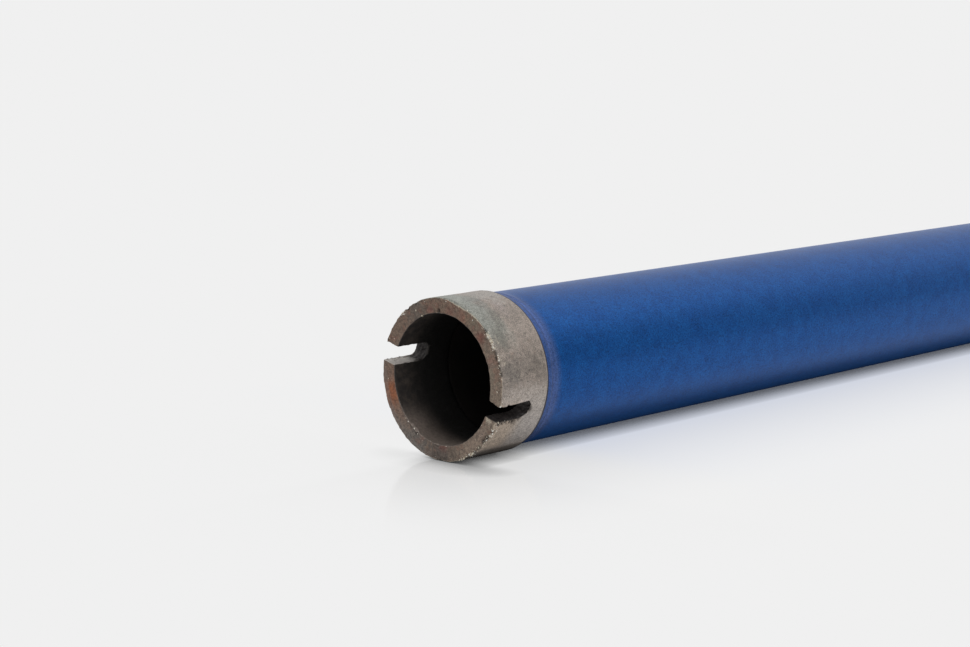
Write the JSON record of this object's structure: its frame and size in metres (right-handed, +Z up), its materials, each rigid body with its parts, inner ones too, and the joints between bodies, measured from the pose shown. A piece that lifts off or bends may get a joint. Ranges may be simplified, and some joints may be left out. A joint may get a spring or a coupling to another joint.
{
  "type": "diamond core bit",
  "caption": "Slim wet core bit: a worn, slotted sintered ring on a blue painted steel tube, with a wrench hexagon and a threaded, bored end.",
  "frame": {"origin": "on the drilling axis, at the mouth of the crown, in the plane of its cutting face", "axes": "+X along the drilling axis from the crown to the threaded end, +Z up as the bit lies on a floor with a flat of its hexagon below, +Y the side where the slots' line is raised"},
  "size_m": [0.338, 0.0278, 0.025],
  "materials": {
    "crown": "matte",
    "barrel": "satin",
    "coupling": "satin"
  },
  "bodies": {
    "root": {"crown": "crown", "barrel": "barrel", "coupling": "coupling"}
  },
  "joints": []
}
